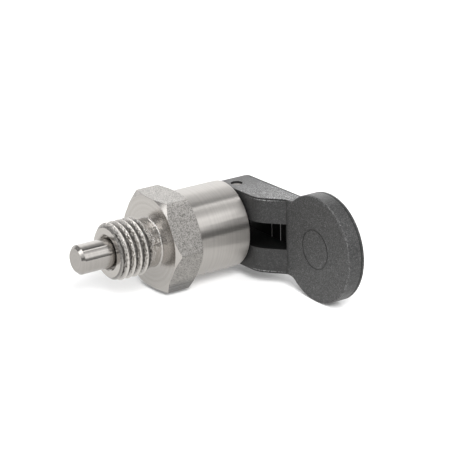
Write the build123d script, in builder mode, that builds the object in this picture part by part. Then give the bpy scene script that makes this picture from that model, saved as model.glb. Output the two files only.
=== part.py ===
from build123d import *
import os
from math import cos, radians, sin, tan

# Indexing plunger with a hand lever, lying on its side.
# The origin is the centre of the hexagon's front face, which seats on the mounting plate.
# +X runs along the plunger's axis from the pin to the lever, and +Z is up through a hexagon flat.
# All lengths are in millimetres and all angles in degrees.

# Thread and neck
thread_diameter = 12.0
thread_length = 10.0
thread_chamfer = 0.9
undercut_diameter = 10.0
undercut_length = 2.4
undercut_fillet = 0.4

# Hexagon and barrel
hexagon_across_flats = 19.0
hexagon_length = 6.5
corner_chamfer_setback = 0.8
corner_chamfer_angle = 30.0
barrel_diameter = 18.0
barrel_end = 18.7
barrel_chamfer = 0.3

# Locking pin, collar and stem
pin_diameter = 6.0
pin_protrusion = 7.2
pin_chamfer = 0.6
stem_diameter = 5.0
collar_length = 2.5
running_clearance = 0.04

# Bores in the body
mouth_diameter = 6.9
mouth_depth = 1.2
mouth_chamfer = 0.3
chamber_diameter = 8.0
chamber_start = -4.0

# Guide bush
bush_diameter = 10.0
bush_length = 4.0
bush_chamfer = 0.3

# Compression spring
spring_wire = 0.7
spring_turns = 8.5
spring_side_clearance = 0.25
spring_end_clearance = 0.03

# Lever, in its own plane with the pivot at the centre
pivot_setback = 3.0
lever_roll = 1.64
lever_height = 16.0
cam_setback = 2.55
far_side = 3.45
far_corner_radius = 1.0
cam_flat_end = -8.2
cam_radius = 5.6
cam_turn = 40.0
paddle_diameter = 22.0
paddle_thickness = 3.8
lever_back = 5.25
arm_straight = 0.83
neck_fillet = 3.0
lever_edge = 0.25
slot_width = 5.4
slot_floor = 4.05
rib_width = 0.25
rib_height = 0.2
rib_places = (-6.74, -9.72)
ring_mark_diameter = 8.0
ring_mark_width = 0.2
ring_mark_depth = 0.06

# Cross pin
pivot_diameter = 2.5
pivot_recess = 0.4
pivot_chamfer = 0.2

# Places along the axis that follow from the sizes above
thread_front = -thread_length
pin_tip = thread_front - pin_protrusion
bush_front = barrel_end - bush_length
pivot_x = barrel_end + pivot_setback
collar_end = chamber_start + collar_length

# Radii
thread_radius = thread_diameter / 2
undercut_radius = undercut_diameter / 2
barrel_radius = barrel_diameter / 2
pin_radius = pin_diameter / 2
stem_radius = stem_diameter / 2
chamber_radius = chamber_diameter / 2
bush_radius = bush_diameter / 2
pivot_radius = pivot_diameter / 2
pin_bore = pin_radius + running_clearance
mouth_radius = mouth_diameter / 2
stem_bore = stem_radius + running_clearance
collar_radius = chamber_radius - running_clearance

# The lever's plane is rolled about the plunger's axis, so that the paddle is a little raised
roll = radians(lever_roll)
lever_plane = Plane(origin=(pivot_x, 0, 0), x_dir=(1, 0, 0), z_dir=(0, sin(roll), cos(roll)))
paddle_front = lever_back - paddle_thickness

os.makedirs("parts", exist_ok=True)


# Body: thread blank, undercut, hexagon and barrel, turned in one piece
hexagon_corner = hexagon_across_flats / 2 / cos(radians(30))
chamfer_disc = hexagon_corner - corner_chamfer_setback / tan(radians(corner_chamfer_angle))
fillet_sag = undercut_fillet * (1 - cos(radians(45)))
undercut_end = (-undercut_fillet, undercut_radius)
undercut_middle = (-fillet_sag, undercut_radius + fillet_sag)
neck_root = (0, undercut_radius + undercut_fillet)

with BuildPart() as body:
    with BuildSketch(Plane.YZ):
        RegularPolygon(hexagon_across_flats / 2, 6, major_radius=False)
    extrude(amount=hexagon_length)
    # Cones at both ends take the hexagon's corners off
    with BuildSketch():
        with BuildLine():
            Polyline(
                (0, 0),
                (0, chamfer_disc),
                (corner_chamfer_setback, hexagon_corner),
                (hexagon_length - corner_chamfer_setback, hexagon_corner),
                (hexagon_length, chamfer_disc),
                (hexagon_length, 0),
                close=True,
            )
        make_face()
    revolve(axis=Axis.X, mode=Mode.INTERSECT)
    # Neck in front of the hexagon and barrel behind it
    with BuildSketch():
        with BuildLine():
            Polyline(
                (thread_front, 0),
                (thread_front, thread_radius - thread_chamfer),
                (thread_front + thread_chamfer, thread_radius),
                (-undercut_length - thread_radius + undercut_radius, thread_radius),
                (-undercut_length, undercut_radius),
                undercut_end,
            )
            ThreePointArc(undercut_end, undercut_middle, neck_root)
            Polyline(
                neck_root,
                (hexagon_length / 2, undercut_radius + undercut_fillet),
                (hexagon_length / 2, barrel_radius),
                (barrel_end - barrel_chamfer, barrel_radius),
                (barrel_end, barrel_radius - barrel_chamfer),
                (barrel_end, 0),
                (thread_front, 0),
            )
        make_face()
    revolve(axis=Axis.X)
    # Pin bore with a wider mouth, spring chamber and bush seat
    with BuildSketch():
        with BuildLine():
            Polyline(
                (thread_front, 0),
                (thread_front, mouth_radius + mouth_chamfer),
                (thread_front + mouth_chamfer, mouth_radius),
                (thread_front + mouth_depth, mouth_radius),
                (thread_front + mouth_depth, pin_bore),
                (chamber_start, pin_bore),
                (chamber_start, chamber_radius),
                (bush_front, chamber_radius),
                (bush_front, bush_radius),
                (barrel_end, bush_radius),
                (barrel_end, 0),
                close=True,
            )
        make_face()
    revolve(axis=Axis.X, mode=Mode.SUBTRACT)

body.part.label = "body"
export_step(body.part, "parts/body.step")


# Guide bush: closes the spring chamber and guides the stem
with BuildPart() as guide_bush:
    with BuildSketch():
        with BuildLine():
            Polyline(
                (bush_front, stem_bore),
                (bush_front, bush_radius),
                (barrel_end - bush_chamfer, bush_radius),
                (barrel_end, bush_radius - bush_chamfer),
                (barrel_end, stem_bore + bush_chamfer),
                (barrel_end - bush_chamfer, stem_bore),
                close=True,
            )
        make_face()
    revolve(axis=Axis.X)

guide_bush.part.label = "guide_bush"
export_step(guide_bush.part, "parts/guide_bush.step")


# Plunger pin: locking pin, stop collar and stem, with a rounded eye for the cross pin
with BuildPart() as plunger_pin:
    with BuildSketch():
        with BuildLine():
            Polyline(
                (pin_tip, 0),
                (pin_tip, pin_radius - pin_chamfer),
                (pin_tip + pin_chamfer, pin_radius),
                (chamber_start, pin_radius),
                (chamber_start, collar_radius),
                (collar_end, collar_radius),
                (collar_end, stem_radius),
                (pivot_x + stem_radius, stem_radius),
                (pivot_x + stem_radius, 0),
                close=True,
            )
        make_face()
    revolve(axis=Axis.X)
    # The eye's end is round about the pivot
    with BuildSketch(lever_plane):
        Rectangle(pivot_x - pin_tip, chamber_diameter, align=(Align.MAX, Align.CENTER))
        Circle(stem_radius)
    extrude(amount=chamber_radius, both=True, mode=Mode.INTERSECT)
    with BuildSketch(lever_plane):
        Circle(pivot_radius + running_clearance)
    extrude(amount=stem_diameter, both=True, mode=Mode.SUBTRACT)

plunger_pin.part.label = "plunger_pin"
export_step(plunger_pin.part, "parts/plunger_pin.step")


# Compression spring: round wire wound about the stem, between the collar and the bush
spring_radius = chamber_radius - spring_side_clearance - spring_wire / 2
spring_start = collar_end + spring_end_clearance + spring_wire / 2
spring_end = bush_front - spring_end_clearance - spring_wire / 2
spring_pitch = (spring_end - spring_start) / spring_turns

with BuildPart() as compression_spring:
    with BuildLine() as coil:
        Helix(
            spring_pitch,
            spring_end - spring_start,
            spring_radius,
            center=(spring_start, 0, 0),
            direction=(1, 0, 0),
        )
    with BuildSketch(Plane(origin=coil.line @ 0, z_dir=coil.line % 0)):
        Circle(spring_wire / 2)
    sweep(is_frenet=True)

compression_spring.part.label = "compression_spring"
export_step(compression_spring.part, "parts/compression_spring.step")


# Lever: two ears, a cam front with a slot, and a round paddle, moulded in one piece
turn = radians(cam_turn)
cam_centre = (cam_radius - cam_setback, cam_flat_end)
cam_leave = (cam_centre[0] - cam_radius * cos(turn), cam_centre[1] - cam_radius * sin(turn))
root_y = cam_leave[1] - (paddle_front - cam_leave[0]) / tan(turn)
half_height = lever_height / 2
paddle_radius = paddle_diameter / 2
neck_reach = ((paddle_radius + neck_fillet) ** 2 - (half_height + neck_fillet) ** 2) ** 0.5
paddle_reach = arm_straight + neck_reach - root_y
paddle_end = -paddle_reach - paddle_diameter
paddle_plane = Plane(
    origin=lever_plane.from_local_coords((paddle_front, 0, 0)),
    x_dir=lever_plane.y_dir,
    z_dir=lever_plane.x_dir,
)

with BuildPart() as lever:
    # Hub, arm and paddle, seen along the pivot
    with BuildSketch(lever_plane):
        with BuildLine():
            cam_flat = Line((-cam_setback, far_side), (-cam_setback, cam_flat_end))
            cam_arc = TangentArc(cam_flat @ 1, cam_leave, tangent=cam_flat % 1)
            Polyline(
                cam_arc @ 1,
                (paddle_front, root_y),
                (paddle_front, paddle_end),
                (lever_back, paddle_end),
                (lever_back, far_side),
                (-cam_setback, far_side),
            )
        hub_face = make_face()
        fillet(hub_face.vertices().group_by(Axis.Y)[-1], far_corner_radius)
    extrude(amount=paddle_radius, both=True)
    # Their outline from the front, with concave corners where the arm's sides run into the paddle
    with BuildSketch(paddle_plane):
        with Locations((-paddle_reach, 0)):
            Circle(paddle_radius)
        with Locations((far_side, 0)):
            Rectangle(far_side + paddle_reach, lever_height, align=(Align.MAX, Align.CENTER))
        fillet(vertices().group_by(Axis.X)[0], neck_fillet)
    extrude(amount=2 * lever_back, both=True, mode=Mode.INTERSECT)
    # Soft edges round the outside, which run on along each smooth chain of edges
    ear_edges = edges().filter_by(lever_plane).filter_by(Axis.X, reverse=True)
    rims = edges().filter_by(GeomType.CIRCLE).filter_by(lambda rim: rim.radius == paddle_radius)
    fillet(ear_edges + rims, lever_edge)
    # Slot for the stem, open at the far side, with fine ribs on its floor
    with BuildSketch(lever_plane):
        with Locations((slot_floor, root_y)):
            Rectangle(slot_floor + 2 * cam_setback, 2 * far_side - root_y, align=(Align.MAX, Align.MIN))
        with Locations(*[(slot_floor, place) for place in rib_places]):
            Rectangle(rib_height, rib_width, align=(Align.MAX, Align.CENTER), mode=Mode.SUBTRACT)
    extrude(amount=slot_width / 2, both=True, mode=Mode.SUBTRACT)
    # Hole for the cross pin
    with BuildSketch(lever_plane):
        Circle(pivot_radius)
    extrude(amount=half_height, both=True, mode=Mode.SUBTRACT)
    # Faint round mark on the paddle's front
    with BuildSketch(paddle_plane):
        with Locations((-paddle_reach, 0)):
            Circle((ring_mark_diameter + ring_mark_width) / 2)
            Circle((ring_mark_diameter - ring_mark_width) / 2, mode=Mode.SUBTRACT)
    extrude(amount=ring_mark_depth, mode=Mode.SUBTRACT)

lever.part.label = "lever"
export_step(lever.part, "parts/lever.step")


# Cross pin: held in the lever's ears, and turns in the stem's eye
with BuildPart() as pivot_pin:
    with BuildSketch(lever_plane):
        Circle(pivot_radius)
    extrude(amount=half_height - pivot_recess, both=True)
    chamfer(edges().filter_by(GeomType.CIRCLE), pivot_chamfer)

pivot_pin.part.label = "pivot_pin"
export_step(pivot_pin.part, "parts/pivot_pin.step")
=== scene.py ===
from math import cos, pi, radians, sin, tan

import bpy
import numpy as np
from mathutils import Matrix, Vector


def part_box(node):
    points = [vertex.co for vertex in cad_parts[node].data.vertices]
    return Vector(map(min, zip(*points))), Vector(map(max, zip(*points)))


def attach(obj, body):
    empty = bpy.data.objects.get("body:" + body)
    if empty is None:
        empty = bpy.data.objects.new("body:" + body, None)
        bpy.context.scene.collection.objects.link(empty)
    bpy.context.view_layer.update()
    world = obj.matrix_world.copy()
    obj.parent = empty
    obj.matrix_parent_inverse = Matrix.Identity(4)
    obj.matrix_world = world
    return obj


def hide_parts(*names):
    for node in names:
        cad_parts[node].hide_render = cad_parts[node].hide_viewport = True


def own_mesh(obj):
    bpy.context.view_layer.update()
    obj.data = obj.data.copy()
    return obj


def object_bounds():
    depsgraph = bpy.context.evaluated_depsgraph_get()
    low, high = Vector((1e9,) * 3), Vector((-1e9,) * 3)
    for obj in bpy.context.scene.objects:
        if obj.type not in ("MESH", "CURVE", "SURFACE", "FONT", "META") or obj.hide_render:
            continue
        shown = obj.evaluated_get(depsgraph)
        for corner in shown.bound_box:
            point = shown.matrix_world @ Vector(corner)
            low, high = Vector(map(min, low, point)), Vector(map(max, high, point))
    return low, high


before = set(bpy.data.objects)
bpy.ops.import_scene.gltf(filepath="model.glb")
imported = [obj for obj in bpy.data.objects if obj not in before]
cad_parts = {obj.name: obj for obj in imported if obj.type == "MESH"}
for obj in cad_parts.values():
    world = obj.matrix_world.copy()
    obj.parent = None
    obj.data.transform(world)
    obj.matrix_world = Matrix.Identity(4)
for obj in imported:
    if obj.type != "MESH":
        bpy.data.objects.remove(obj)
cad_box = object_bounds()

# Lengths are in millimetres in this script and become metres where a mesh or a mask is made. Only the floor
# and the lamp are given in metres.
MM = 0.001

# Sizes of the turned body, the same as in the model it replaces
thread_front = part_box("body")[0].x / MM
barrel_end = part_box("body")[1].x / MM
crest_radius = 5.95
thread_pitch = 1.5
thread_chamfer = 0.9
undercut_radius = 5.0
undercut_length = 2.4
undercut_fillet = 0.4
across_flats = 19.0
hexagon_length = 6.5
corner_chamfer_setback = 0.8
barrel_radius = 9.0
barrel_chamfer = 0.3
bore_radius = 3.04
mouth_radius = 3.45
mouth_depth = 1.2
mouth_chamfer = 0.3
chamber_start = -4.0
chamber_radius = 4.0
bush_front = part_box("guide_bush")[0].x / MM
bush_radius = 5.0

# Form that only the visual body has: the thread's ridges and the softened edges
thread_depth = 0.6134 * thread_pitch
flank_angle = radians(30)
crest_round = 0.24
runout_slope = 1.4
edge_break = 0.07
small_edge_break = 0.05
hexagon_edge_loss = 0.05

# How finely the body is divided, with angles in degrees from one corner of the hexagon to the next
corner_degrees = (-1.0, -0.5, -0.2, 0.0, 0.2, 0.5, 1.0)
flat_degrees = np.linspace(2.0, 58.0, 38)
thread_rows = 170
fillet_steps = 6
break_steps = 3

# Sizes of the spring, and how finely it is divided
wire_sides = 14
steps_per_turn = 44
spring_wire = 0.7
spring_radius = 3.4
spring_turns = 8.5

# Places and sizes on the lever, in its own frame, which is rolled a little about the plunger's axis. Places
# along the arm are negative towards the paddle.
lever_roll = radians(1.64)
lever_back = 26.95
arm_side = 8.0
arm_root = -15.8
paddle_front = 23.15
paddle_radius = 11.0
paddle_centre = -24.5
mark_radius = 4.0
slot_half = 2.7
slot_front = 18.0
slot_floor = 25.75
slot_end = -15.0
slot_far_end = 10.0
rib_places = (-6.74, -9.72)
rib_half = 0.11
rib_height = 0.25


# Node helpers

def new_material(name):
    """An empty node material, its tree and its principled shader."""
    material = bpy.data.materials.new(name)
    material.use_nodes = True
    tree = material.node_tree
    return material, tree, tree.nodes["Principled BSDF"]


def feed(tree, socket, value):
    """Links an input to the output that is given, or sets it to a constant."""
    if isinstance(value, bpy.types.NodeSocket):
        tree.links.new(value, socket)
    else:
        socket.default_value = value


def add(tree, kind, settings=None, **inputs):
    """A node with some of its settings and inputs."""
    node = tree.nodes.new(kind)
    for key, value in (settings or {}).items():
        setattr(node, key, value)
    for key, value in inputs.items():
        feed(tree, node.inputs[key.replace("_", " ")], value)
    return node


def math_node(tree, operation, first, second=None, clamp=False):
    """The result of a maths operation on sockets or numbers."""
    node = add(tree, "ShaderNodeMath", {"operation": operation, "use_clamp": clamp})
    feed(tree, node.inputs[0], first)
    if second is not None:
        feed(tree, node.inputs[1], second)
    return node.outputs[0]


def product(tree, first, *others):
    """Sockets and numbers multiplied with each other."""
    for value in others:
        first = math_node(tree, "MULTIPLY", first, value)
    return first


def rgba(value):
    """The four channels of a colour or a grey."""
    return (*value, 1) if isinstance(value, tuple) else (value, value, value, 1)


def ramp(tree, factor, stops):
    """A colour ramp over (place, grey or colour) stops."""
    node = add(tree, "ShaderNodeValToRGB", Fac=factor)
    elements = node.color_ramp.elements
    while len(elements) < len(stops):
        elements.new(0.5)
    for element, (place, value) in zip(elements, stops):
        element.position = place
        element.color = rgba(value)
    return node.outputs[0]


def blend_colors(tree, factor, first, second, blend_type="MIX"):
    """A mix of two colours, each of them a socket, a colour or a grey."""
    node = add(tree, "ShaderNodeMix", {"data_type": "RGBA", "blend_type": blend_type})
    feed(tree, node.inputs[0], factor)
    for socket, value in ((node.inputs[6], first), (node.inputs[7], second)):
        feed(tree, socket, value if isinstance(value, bpy.types.NodeSocket) else rgba(value))
    return node.outputs[2]


def cover(tree, under, color, *masks, strength=1.0):
    """A colour with another laid over it, where all the masks hold."""
    return blend_colors(tree, product(tree, *masks, strength), under, color)


def separate(tree, vector):
    """The X, Y and Z of a vector."""
    return tuple(add(tree, "ShaderNodeSeparateXYZ", Vector=vector).outputs)


def object_place(tree):
    """The place on an object's surface, in metres."""
    return add(tree, "ShaderNodeTexCoord").outputs["Object"]


def noise(tree, place, scale, detail, roughness=0.5):
    """Noise over a surface."""
    node = add(tree, "ShaderNodeTexNoise", Vector=place, Scale=scale, Detail=detail, Roughness=roughness)
    return node.outputs["Fac"]


def line_noise(tree, value, scale, detail, roughness=0.5):
    """Noise that changes with one value alone, as tool marks and drawn lines do."""
    node = add(tree, "ShaderNodeTexNoise", {"noise_dimensions": "1D"},
               W=value, Scale=scale, Detail=detail, Roughness=roughness)
    return node.outputs["Fac"]


def pepper(tree, place, grain, size, share):
    """Small cells of random greys in a finer grain, as on blasted metal or moulded plastic."""
    cells = add(tree, "ShaderNodeTexVoronoi", Vector=place, Scale=1 / (size * MM))
    split = add(tree, "ShaderNodeSeparateColor", Color=cells.outputs["Color"])
    return math_node(tree, "ADD", product(tree, split.outputs[0], share), product(tree, grain, 1 - share))


def bumps(tree, height, strength, depth):
    """A bump node that makes small bumps of a given depth."""
    return add(tree, "ShaderNodeBump", Height=height, Strength=strength, Distance=depth * MM)


def distance(tree, first, second):
    """The length of the flat vector that two numbers make."""
    squares = [math_node(tree, "MULTIPLY", value, value) for value in (first, second)]
    return math_node(tree, "SQRT", math_node(tree, "ADD", *squares))


def rise(tree, value, start, end):
    """A number that goes from 0 to 1 as a value goes from one limit to the other."""
    return math_node(tree, "DIVIDE", math_node(tree, "SUBTRACT", value, start), end - start, clamp=True)


def within(tree, value, low, high, soft):
    """1 where a value lies between two limits, and 0 beyond them, with soft ends."""
    return product(tree, rise(tree, value, low, low + soft), rise(tree, value, high, high - soft))


def onward(tree, place, start, end):
    """The same as rise, for a place on a surface and limits in millimetres."""
    return rise(tree, place, start * MM, end * MM)


def zone(tree, place, low, high, soft):
    """The same as within, for a place on a surface and limits in millimetres."""
    return within(tree, place, low * MM, high * MM, soft * MM)


# Materials

def turned_steel(name, color=(0.60, 0.576, 0.549), roughness=0.3, anisotropy=0.8, line_depth=0.5,
                 dents=0.0, roots=None):
    """Steel with fine tool lines round the axis, which spread what it mirrors along the axis.

    line_depth and dents are strengths of bumps. roots are the two radii between which painted shade in a
    thread's roots fades to the steel's full colour.
    """
    line_shade = 0.88
    root_shade = 0.3
    quarter_turn = 0.25
    material, tree, shader = new_material(name)
    place = object_place(tree)
    x, y, z = separate(tree, place)
    radius = distance(tree, y, z)
    along = math_node(tree, "ADD", x, radius)
    fine = line_noise(tree, along, scale=9000.0, detail=3.0, roughness=0.7)
    wide = line_noise(tree, along, scale=1800.0, detail=3.0)
    bump = bumps(tree, fine, strength=line_depth, depth=0.005)
    if dents:
        dent_bump = bumps(tree, noise(tree, place, scale=1500.0, detail=2.0), strength=dents, depth=0.3)
        tree.links.new(bump.outputs[0], dent_bump.inputs["Normal"])
        bump = dent_bump
    tree.links.new(bump.outputs[0], shader.inputs["Normal"])
    darker = tuple(line_shade * c for c in color)
    fine_tint = ramp(tree, fine, [(0.3, darker), (0.6, color)])
    wide_tint = ramp(tree, wide, [(0.35, darker), (0.65, color)])
    tint = blend_colors(tree, 0.5, fine_tint, wide_tint)
    # Painted shade in a thread's roots
    if roots:
        tint = blend_colors(tree, onward(tree, radius, *roots), tuple(root_shade * c for c in color), tint)
    tree.links.new(tint, shader.inputs["Base Color"])
    tangent = add(tree, "ShaderNodeTangent", {"direction_type": "RADIAL", "axis": "X"})
    tree.links.new(tangent.outputs[0], shader.inputs["Tangent"])
    shader.inputs["Anisotropic"].default_value = anisotropy
    shader.inputs["Anisotropic Rotation"].default_value = quarter_turn
    shader.inputs["Roughness"].default_value = roughness
    shader.inputs["Metallic"].default_value = 1.0
    return material


def grainy_steel(name):
    """The hexagon's drawn flats: dull, with fine dark specks and painted shade that differs from side to
    side.
    """
    lined_below = -6.6
    fully_lined_below = -7.8
    material, tree, shader = new_material(name)
    place = object_place(tree)
    z = separate(tree, place)[2]
    pits = noise(tree, place, scale=4200.0, detail=2.0, roughness=0.7)
    blotches = noise(tree, place, scale=700.0, detail=3.0)
    specks = pepper(tree, place, pits, size=0.11, share=0.5)
    speck_tint = ramp(tree, specks, [(0.25, 0.15), (0.40, 0.37), (0.52, 0.50), (0.75, 0.61)])
    blotch_tint = ramp(tree, blotches, [(0.3, (0.93, 0.895, 0.85)), (0.7, (1.0, 0.965, 0.925))])
    tint = blend_colors(tree, 1.0, speck_tint, blotch_tint, "MULTIPLY")
    # Painted shade by side: the upper side flats are darker than the top and lower ones. The lowest flats
    # are also darker, with lines along the axis.
    height = onward(tree, z, -across_flats / 2, across_flats / 2)
    side_shade = ramp(tree, height, [(0.0, 0.95), (0.45, 0.95), (0.55, 0.78), (0.96, 0.78), (0.99, 1.0)])
    tint = blend_colors(tree, 1.0, tint, side_shade, "MULTIPLY")
    lines = ramp(tree, line_noise(tree, z, scale=3500.0, detail=2.0), [(0.35, 0.13), (0.65, 0.29)])
    tint = cover(tree, tint, lines, onward(tree, z, lined_below, fully_lined_below), strength=0.7)
    tree.links.new(tint, shader.inputs["Base Color"])
    tree.links.new(bumps(tree, pits, strength=0.45, depth=0.04).outputs[0], shader.inputs["Normal"])
    shader.inputs["Roughness"].default_value = 0.42
    shader.inputs["Metallic"].default_value = 1.0
    return material


def lever_places(tree):
    """The place on the lever in its own frame: along the plunger, along the arm, and across the arm."""
    roll = add(tree, "ShaderNodeMapping", Vector=object_place(tree), Rotation=(lever_roll, 0, 0))
    return separate(tree, roll.outputs[0])


def moulded_plastic(name):
    """Dark glass-filled plastic with a fine grain. Painted shade makes the slot black and the arm, cam, rim
    and back edges darker; painted highlights make edges, the arm's flat sides and the slot's ribs paler.
    """
    # Greys of the round mark, of painted shade on the rim, cam, back edges and slot, of the dark side line,
    # and of the painted highlight on the ribs
    mark_grey = 0.010
    rim_shade_grey = 0.010
    cam_shade_grey = 0.015
    back_shade_grey = 0.004
    line_grey = 0.006
    slot_shade_grey = 0.002
    rib_highlight_grey = 0.42
    dull_roughness = 0.95
    # How far the marks reach, and how far in from an edge the lines beside it begin and end
    mark_half = 0.22
    edge_highlight_width = 0.28
    rim_width = 0.06
    past_edge = 0.3
    root_length = 0.5
    pale_start, pale_end = 2.0, -14.0
    arm_line_in = 0.62
    rim_line_in, rim_line_out = 0.90, 0.48
    side_line_in, side_line_out = 0.30, 0.07
    strip_in, strip_out = 0.58, 0.34
    slot_margin = 0.02
    material, tree, shader = new_material(name)
    place = object_place(tree)
    along, arm, across = lever_places(tree)
    grain = noise(tree, place, scale=4200.0, detail=2.0, roughness=0.6)
    cloud = noise(tree, place, scale=350.0, detail=2.0)
    specks = pepper(tree, place, grain, size=0.17, share=0.4)
    speck_tint = ramp(tree, specks, [(0.28, 0.019), (0.50, 0.045), (0.64, 0.076), (0.74, 0.13)])
    side_light_tint = ramp(tree, specks, [(0.39, 0.018), (0.515, 0.08), (0.66, 0.46)])
    edge_highlight_tint = ramp(tree, specks, [(0.34, 0.02), (0.66, 0.38)])
    tint = blend_colors(tree, 0.25, speck_tint, ramp(tree, cloud, [(0.3, 0.027), (0.7, 0.047)]))
    on_arm = onward(tree, arm, arm_root, arm_root + root_length)
    on_paddle = onward(tree, arm, arm_root, arm_root - root_length)
    # Darker round mark on the paddle, a painted highlight along the edge of its front, and painted shade on
    # the rim behind that
    from_centre = distance(tree, math_node(tree, "SUBTRACT", arm, paddle_centre * MM), across)
    at_front = zone(tree, along, paddle_front - 0.2, paddle_front + 0.35, soft=0.1)
    mark = zone(tree, from_centre, mark_radius - mark_half, mark_radius + mark_half, soft=0.1)
    tint = cover(tree, tint, mark_grey, mark, at_front, strength=0.6)
    edge_highlight = zone(tree, from_centre, paddle_radius - edge_highlight_width, paddle_radius + past_edge, soft=0.08)
    tint = cover(tree, tint, edge_highlight_tint, edge_highlight, at_front, strength=0.12)
    rim_shade = zone(tree, from_centre, paddle_radius - rim_width, paddle_radius + past_edge, soft=0.05)
    past_root = onward(tree, arm, arm_root + 0.6, arm_root + 0.1)
    tint = cover(tree, tint, rim_shade_grey, rim_shade, past_root, strength=0.3)
    # Painted shade darkens the arm and its cam, and painted light makes the arm's flat sides paler towards
    # the paddle
    tint = cover(tree, tint, cam_shade_grey, on_arm, strength=0.6)
    aside = math_node(tree, "ABSOLUTE", across)
    side = onward(tree, aside, arm_side - 0.06, arm_side - 0.03)
    outward = onward(tree, arm, pale_start, pale_end)
    tint = cover(tree, tint, side_light_tint, side, on_arm, outward, strength=0.68)
    # Painted shade: a dark line along the back of the arm and, a little further in, of the paddle's rim
    arm_line = onward(tree, along, lever_back - arm_line_in, lever_back - arm_line_in + 0.1)
    rim_line = zone(tree, along, lever_back - rim_line_in, lever_back - rim_line_out, soft=0.1)
    back_shade_line = math_node(
        tree, "ADD", product(tree, arm_line, on_arm), product(tree, rim_line, on_paddle, 0.75), clamp=True,
    )
    tint = cover(tree, tint, back_shade_grey, back_shade_line, strength=0.9)
    # Dark line along the edge of the arm's sides, and a painted highlight beside it on the cam
    side_line = zone(tree, aside, arm_side - side_line_in, arm_side - side_line_out, soft=0.04)
    tint = cover(tree, tint, line_grey, side_line, zone(tree, arm, arm_root + 0.3, 5.0, soft=0.5))
    cam_strip_highlight = zone(tree, aside, arm_side - strip_in, arm_side - strip_out, soft=0.06)
    tint = cover(tree, tint, edge_highlight_tint, cam_strip_highlight, zone(tree, arm, arm_root + 0.6, -7.5, soft=3.0), strength=0.7)
    # Painted shade makes the slot's inside black, and a painted highlight makes the tops of the ribs on its
    # floor pale
    slot_shade = product(
        tree,
        zone(tree, across, -slot_half - slot_margin, slot_half + slot_margin, soft=0.02),
        zone(tree, along, slot_front, slot_floor + 0.05, soft=0.05),
        zone(tree, arm, slot_end, slot_far_end, soft=0.05),
    )
    tint = cover(tree, tint, slot_shade_grey, slot_shade)
    on_ribs = zone(tree, along, slot_floor - rib_height, slot_floor, soft=0.05)
    for rib in rib_places:
        rib_highlight = zone(tree, arm, rib - rib_half, rib + rib_half, soft=0.03)
        tint = cover(tree, tint, rib_highlight_grey, rib_highlight, on_ribs)
    tree.links.new(tint, shader.inputs["Base Color"])
    bump = bumps(tree, grain, strength=0.8, depth=0.05)
    tree.links.new(bump.outputs[0], shader.inputs["Normal"])
    tree.links.new(bump.outputs[0], shader.inputs["Coat Normal"])
    # Where painted shade makes the plastic black, it is dull too
    roughness = ramp(tree, cloud, [(0.3, 0.33), (0.7, 0.43)])
    dull = math_node(tree, "ADD", slot_shade, back_shade_line, clamp=True)
    tree.links.new(blend_colors(tree, dull, roughness, dull_roughness), shader.inputs["Roughness"])
    shader.inputs["Specular IOR Level"].default_value = 0.25
    shader.inputs["Coat Weight"].default_value = 0.25
    shader.inputs["Coat Roughness"].default_value = 0.3
    return material


# Mesh helpers

def soften(points, radius=edge_break):
    """Rows of an outline whose inner corners are rounded a little. Each point is an (x, r) pair."""
    margin = 1.1
    largest_share = 0.45
    rows = [points[0]]
    for before, corner, after in zip(points, points[1:], points[2:]):
        into = [c - b for b, c in zip(before, corner)]
        out = [a - c for c, a in zip(corner, after)]
        length_in = np.hypot(*into)
        length_out = np.hypot(*out)
        reach = np.minimum(radius, largest_share * np.minimum(length_in, length_out))
        start = [c - d * reach / length_in for c, d in zip(corner, into)]
        end = [c + d * reach / length_out for c, d in zip(corner, out)]
        rows.append(tuple(c - d * margin * reach / length_in for c, d in zip(corner, into)))
        for k in range(break_steps + 1):
            t = k / break_steps
            rows.append(tuple(
                (1 - t) ** 2 * s + 2 * t * (1 - t) * c + t * t * e for s, c, e in zip(start, corner, end)
            ))
        rows.append(tuple(c + d * margin * reach / length_out for c, d in zip(corner, out)))
    rows.append(points[-1])
    return rows


def ring_mesh(name, rows, angles, slots):
    """A mesh of rings about the X axis, the last of them joined to the first.

    Each row is an (x, r) pair, and slots gives the material of the band after it.
    """
    count = len(angles)
    along = np.array([np.broadcast_to(x, count) for x, r in rows])
    out = np.array([np.broadcast_to(r, count) for x, r in rows])
    verts = np.stack([along, out * np.cos(angles), out * np.sin(angles)], axis=-1).reshape(-1, 3) * MM
    faces = []
    marks = []
    for row in range(len(rows)):
        below = row * count
        above = ((row + 1) % len(rows)) * count
        for column in range(count):
            following = (column + 1) % count
            faces.append((below + column, below + following, above + following, above + column))
            marks.append(slots[row])
    mesh = bpy.data.meshes.new(name)
    mesh.from_pydata(verts.tolist(), [], faces)
    mesh.polygons.foreach_set("material_index", marks)
    mesh.polygons.foreach_set("use_smooth", [True] * len(faces))
    mesh.update()
    return mesh


def place_piece(name, mesh, body, materials, slot, *nodes):
    """Makes a piece of a mesh, gives it its materials, and lets it ride in place of its CAD nodes."""
    piece = bpy.data.objects.new(name, mesh)
    bpy.context.scene.collection.objects.link(piece)
    for material in materials:
        mesh.materials.append(material)
    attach(piece, body)
    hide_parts(*nodes)
    return piece


# Turned body with its thread

def hexagon_angles():
    """Angles round the axis, closer together at each corner of the hexagon so that its edge can be soft."""
    return np.radians(np.array([60 * k + a for k in range(6) for a in (*corner_degrees, *flat_degrees)]))


def hexagon_radius(angles):
    """Distance from the axis to the hexagon's side, with soft corners."""
    from_corner = np.abs((np.degrees(angles) + 30) % 60 - 30)
    side = across_flats / 2 / np.cos(np.radians(30 - from_corner))
    return side - hexagon_edge_loss * np.clip(1 - from_corner, 0, 1) ** 2


def thread_radius(x, angles):
    """Radius of a right-handed 60 degree thread with round crests, at a place along the axis."""
    turn = (x - thread_front) / thread_pitch - angles / (2 * pi)
    from_crest = np.abs(turn % 1 - 0.5) * thread_pitch
    ridge = crest_radius + crest_round - np.hypot(from_crest / tan(flank_angle), crest_round)
    return np.maximum(ridge, crest_radius - thread_depth)


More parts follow.
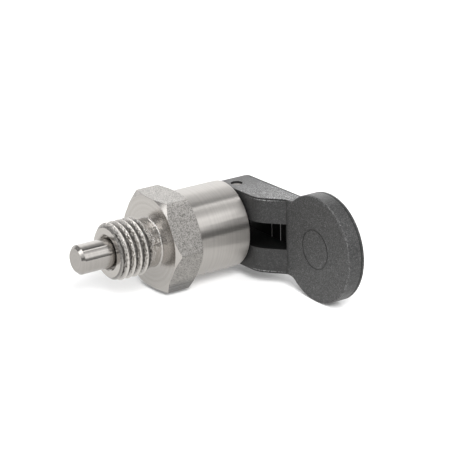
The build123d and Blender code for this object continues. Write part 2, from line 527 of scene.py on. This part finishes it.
def body_rows(angles):
    """The body's rows and materials, from the bore's mouth over the outside and back through the bore."""
    turned, flats, barrel, thread, undercut = range(5)
    face_margin = 0.1
    thread_margin = 0.02
    fillet_margin = 0.06
    disc_margin = 0.5
    side_margin = 1.5
    least_setback = 0.05
    cone_angle = radians(30)
    rows = []
    slots = []

    def take(new_rows, slot):
        rows.extend(new_rows)
        slots.extend([slot] * len(new_rows))

    face_radius = crest_radius - thread_chamfer
    mouth_end = thread_front + mouth_depth
    mouth_step_middle = (mouth_end, 0.5 * (bore_radius + mouth_radius))
    take(soften([
        mouth_step_middle,
        (mouth_end, mouth_radius),
        (thread_front + mouth_chamfer, mouth_radius),
        (thread_front, mouth_radius + mouth_chamfer),
        (thread_front, face_radius - face_margin),
    ], small_edge_break), turned)
    # Thread, cut off by the start chamfer and by the run-out into the undercut
    thread_end = -undercut_length
    for x in np.linspace(thread_front + thread_margin, thread_end - thread_margin, thread_rows):
        start_cone = face_radius + (x - thread_front)
        end_cone = undercut_radius + (thread_end - x) * runout_slope
        take([(x, np.minimum(thread_radius(x, angles), min(start_cone, end_cone)))], thread)
    # Undercut with its fillet into the hexagon's front face
    take([(thread_end, undercut_radius)], undercut)
    fillet = []
    for k in range(fillet_steps + 1):
        swing = radians(90 * k / fillet_steps)
        fillet.append((
            -undercut_fillet + undercut_fillet * sin(swing),
            undercut_radius + undercut_fillet * (1 - cos(swing)),
        ))
    take(fillet[:-1], undercut)
    fillet_radius = undercut_radius + undercut_fillet
    take([fillet[-1], (0, fillet_radius + fillet_margin)], turned)
    # Hexagon with coned corners
    side = hexagon_radius(angles)
    disc = across_flats / 2 / cos(radians(30)) - corner_chamfer_setback / tan(cone_angle)
    setback = np.maximum((side - disc) * tan(cone_angle), least_setback)
    disc_radius = side - setback / tan(cone_angle)
    front_cone = soften([
        (0, disc_radius - disc_margin),
        (0, disc_radius),
        (setback, side),
        (side_margin, side),
    ])
    rear_cone = soften([
        (hexagon_length - side_margin, side),
        (hexagon_length - setback, side),
        (hexagon_length, disc_radius),
        (hexagon_length, barrel_radius),
    ], small_edge_break)
    take([(0, 0.5 * (fillet_radius + disc_radius))], turned)
    # The grainy flats begin and end in the rounding between cone and side
    take(front_cone[:-5], turned)
    take(front_cone[-5:] + rear_cone[:4], flats)
    take(rear_cone[4:-1], turned)
    # Barrel, rear face and the bores behind the pin
    take(soften([
        (hexagon_length, barrel_radius),
        (barrel_end - barrel_chamfer, barrel_radius),
        (barrel_end, barrel_radius - barrel_chamfer),
        (barrel_end, bush_radius),
        (bush_front, bush_radius),
        (bush_front, chamber_radius),
        (chamber_start, chamber_radius),
        (chamber_start, bore_radius),
        (mouth_end, bore_radius),
        mouth_step_middle,
    ])[:-1], barrel)
    return rows, slots


angles = hexagon_angles()
rows, slots = body_rows(angles)
body_mesh = ring_mesh("turned_body", rows, angles, slots)
body_mesh.set_sharp_from_angle(angle=radians(35))
body_steels = (
    turned_steel("steel_turned", roughness=0.2, anisotropy=0.5),
    grainy_steel("steel_flats"),
    turned_steel("steel_barrel", roughness=0.29, anisotropy=1.0, line_depth=1.0),
    # The thread's steel is paler than the rest of the body, a painted highlight for its glints, and has
    # painted shade in its roots
    turned_steel("steel_thread", color=(0.80, 0.77, 0.735), roughness=0.08, anisotropy=0.0, dents=1.3,
                 roots=(5.2, crest_radius - 0.05)),
    turned_steel("steel_undercut", color=(0.60, 0.577, 0.552), roughness=0.14, anisotropy=0.0, dents=0.45),
)
place_piece("turned_body", body_mesh, "housing", body_steels, "turned_steel", "body")


# Compression spring, a mesh of its own

def coil_mesh(name, start, end, radius, turns, wire):
    """A round wire wound about the X axis."""
    steps = int(turns * steps_per_turn)
    ring = np.linspace(0, 2 * pi, wire_sides, endpoint=False)
    verts = []
    for k in range(steps + 1):
        angle = 2 * pi * turns * k / steps
        outward = np.array([0, cos(angle), sin(angle)])
        tangent = np.array([(end - start) / (2 * pi * turns), -radius * sin(angle), radius * cos(angle)])
        sideways = np.cross(tangent / np.linalg.norm(tangent), outward)
        centre = np.array([start + (end - start) * k / steps, 0, 0]) + radius * outward
        verts.extend(centre + wire / 2 * (cos(a) * outward + sin(a) * sideways) for a in ring)
    faces = [tuple(range(wire_sides))[::-1], tuple(range(steps * wire_sides, (steps + 1) * wire_sides))]
    for k in range(steps):
        below = k * wire_sides
        above = below + wire_sides
        for side in range(wire_sides):
            following = (side + 1) % wire_sides
            faces.append((below + side, below + following, above + following, above + side))
    mesh = bpy.data.meshes.new(name)
    mesh.from_pydata((np.array(verts) * MM).tolist(), [], faces)
    mesh.polygons.foreach_set("use_smooth", [False] * 2 + [True] * (len(faces) - 2))
    mesh.update()
    return mesh


spring_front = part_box("compression_spring")[0].x / MM
spring_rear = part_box("compression_spring")[1].x / MM
spring_data = coil_mesh(
    "coil", spring_front + spring_wire / 2, spring_rear - spring_wire / 2,
    spring_radius, spring_turns, spring_wire,
)
spring_steels = (turned_steel("steel_spring", anisotropy=0.0),)
spring = place_piece("coil", spring_data, "spring", spring_steels, "spring_steel", "compression_spring")
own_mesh(spring)


# Finishes of the pieces that keep their modelled shape
finishes = {
    "plunger_pin": turned_steel("steel_pin", color=(0.475, 0.455, 0.433), roughness=0.16),
    "guide_bush": turned_steel("steel_bush"),
    "pivot_pin": turned_steel("steel_pivot", color=(0.55, 0.53, 0.505), roughness=0.6, anisotropy=0.0),
    "lever": moulded_plastic("lever_plastic_grain_and_painted_light"),
}
for node, material in finishes.items():
    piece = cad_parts[node]
    piece.data.materials.clear()
    piece.data.materials.append(material)


# Camera, at the place that the photograph's perspective gives
view_azimuth = radians(-34.651)
view_elevation = radians(20.53)
view_roll = radians(-0.562)
focal_pixels = 2104.6
photo_pixels = 450
sensor_width = 36
camera_distance = 422.411
aim_right = 15.222
aim_up = 3.422

back = Vector((
    sin(view_azimuth) * cos(view_elevation),
    -cos(view_azimuth) * cos(view_elevation),
    sin(view_elevation),
))
level_right = Vector((cos(view_azimuth), sin(view_azimuth), 0))
level_up = back.cross(level_right)
right = level_right * cos(view_roll) + level_up * sin(view_roll)
up = level_up * cos(view_roll) - level_right * sin(view_roll)
camera_place = (right * aim_right + up * aim_up + back * camera_distance) * MM
camera_data = bpy.data.cameras.new("camera")
camera_data.sensor_width = sensor_width
camera_data.lens = focal_pixels / photo_pixels * sensor_width
camera = bpy.data.objects.new("camera", camera_data)
bpy.context.scene.collection.objects.link(camera)
turn_matrix = Matrix((right, up, back)).transposed().to_4x4()
camera.matrix_world = Matrix.Translation(camera_place) @ turn_matrix
bpy.context.scene.camera = camera


# Floor, in metres. The camera sees it nearly white, and the steel mirrors it darker.
floor_left, floor_right = -0.5, 0.45
floor_front, floor_rear = -0.3, 0.7
floor_level = cad_box[0][2]
floor_color = 0.9
mirrored_floor_color = (0.36, 0.357, 0.349)
seen_glow = 0.10
mirrored_glow = 0.37
floor_mesh = bpy.data.meshes.new("floor")
floor_mesh.from_pydata(
    [
        (floor_left, floor_front, floor_level),
        (floor_right, floor_front, floor_level),
        (floor_right, floor_rear, floor_level),
        (floor_left, floor_rear, floor_level),
    ],
    [],
    [(0, 1, 2, 3)],
)
floor = bpy.data.objects.new("floor", floor_mesh)
bpy.context.scene.collection.objects.link(floor)
floor_material, tree, shader = new_material("floor_white")
rays = tree.nodes.new("ShaderNodeLightPath")
seen = rays.outputs["Is Camera Ray"]
mirrored = rays.outputs["Is Glossy Ray"]
tree.links.new(blend_colors(tree, mirrored, floor_color, mirrored_floor_color), shader.inputs["Base Color"])
floor_glow = math_node(tree, "ADD", product(tree, seen, seen_glow), product(tree, mirrored, mirrored_glow))
tree.links.new(floor_glow, shader.inputs["Emission Strength"])
shader.inputs["Emission Color"].default_value = (1, 1, 1, 1)
shader.inputs["Roughness"].default_value = 1.0
shader.inputs["Specular IOR Level"].default_value = 0.0
floor_mesh.materials.append(floor_material)


# World: a white studio. The steel mirrors light and dark bands on its right and left, which lie along the
# plunger. Each is given by its angle up from the front, in degrees, and its light.
right_bands = (
    (-180, 0.60), (-9, 0.60), (-3, 0.28), (7, 0.30), (13, 0.42), (17, 0.66), (22, 1.35), (32, 1.55),
    (38, 1.35), (48, 1.62), (56, 1.12), (61, 0.92), (66, 0.78), (74, 0.66), (76.5, 2.0), (82, 2.0),
    (84, 0.08), (90, 0.16), (104, 0.46), (115, 0.58), (125, 1.06), (137, 1.50), (180, 1.50),
)
left_bands = (
    (-180, 0.46), (-12, 0.42), (-5, 0.24), (33, 0.25), (39, 0.80), (48, 0.80), (54, 0.36), (84, 0.40),
    (94, 0.60), (98, 1.15), (108, 1.15), (114, 0.34), (150, 0.34), (165, 0.80), (180, 0.95),
)
# Panels on the left, which give the chamfers and the thread their glints: limits in X, Y and Z, and light
panels = (
    ((-2.0, -0.68), (-0.28, 0.47), (0.24, 0.52), 2.1),
    ((-0.38, -0.14), (-0.20, 0.80), (0.58, 2.0), 3.4),
    ((-0.92, -0.62), (-0.30, 0.36), (0.54, 2.0), 2.8),
    ((-0.65, -0.05), (-2.0, -0.70), (0.18, 0.42), 2.0),
)
panel_softness = (0.05, 0.12, 0.05)
# Where the left side of the studio fades into the right one, in X
fade_start = -0.25
fade_end = 0.375
# A colour ramp holds no more than 1, so the bands are divided by the brightest of them
brightest = 2.0


def studio_side(tree, turn_share, bands):
    """The light of one side of the studio, by the share of a turn about the plunger."""
    return ramp(tree, turn_share, [(angle / 360 + 0.5, light / brightest) for angle, light in bands])


world = bpy.data.worlds.new("studio")
bpy.context.scene.world = world
world.use_nodes = True
tree = world.node_tree
direction = separate(tree, add(tree, "ShaderNodeTexCoord").outputs["Generated"])
forward = math_node(tree, "MULTIPLY", direction[1], -1.0)
turn = math_node(tree, "ARCTAN2", direction[2], forward)
turn_share = rise(tree, turn, -pi, pi)
right_side = studio_side(tree, turn_share, right_bands)
left_side = studio_side(tree, turn_share, left_bands)
for *limits, light in panels:
    panel = product(tree, *(
        within(tree, value, low, high, soft)
        for value, (low, high), soft in zip(direction, limits, panel_softness)
    ))
    left_side = blend_colors(tree, panel, left_side, light / brightest)
rightward = rise(tree, direction[0], fade_start, fade_end)
studio = tree.nodes["Background"]
tree.links.new(blend_colors(tree, rightward, left_side, right_side), studio.inputs[0])
studio.inputs[1].default_value = brightest
# The camera sees plain white
white = add(tree, "ShaderNodeBackground", Color=(1, 1, 1, 1), Strength=1.0)
rays = tree.nodes.new("ShaderNodeLightPath")
chosen = tree.nodes.new("ShaderNodeMixShader")
tree.links.new(rays.outputs["Is Camera Ray"], chosen.inputs[0])
tree.links.new(studio.outputs[0], chosen.inputs[1])
tree.links.new(white.outputs[0], chosen.inputs[2])
tree.links.new(chosen.outputs[0], tree.nodes["World Output"].inputs[0])


# Key lamp, in metres, which gives the floor its soft shadow. It isn't seen in the steel.
key_place = Vector((-0.14, -0.44, 0.40))
key_aim = Vector((0.005, 0, 0))
key_data = bpy.data.lights.new("key_lamp", "AREA")
key_data.size = 0.3
key_data.energy = 4.2
key_lamp = bpy.data.objects.new("key_lamp", key_data)
bpy.context.scene.collection.objects.link(key_lamp)
key_lamp.location = key_place
key_lamp.rotation_euler = (key_aim - key_place).to_track_quat("-Z", "Y").to_euler()
key_lamp.visible_glossy = False

bpy.context.scene.view_settings.view_transform = "Standard"
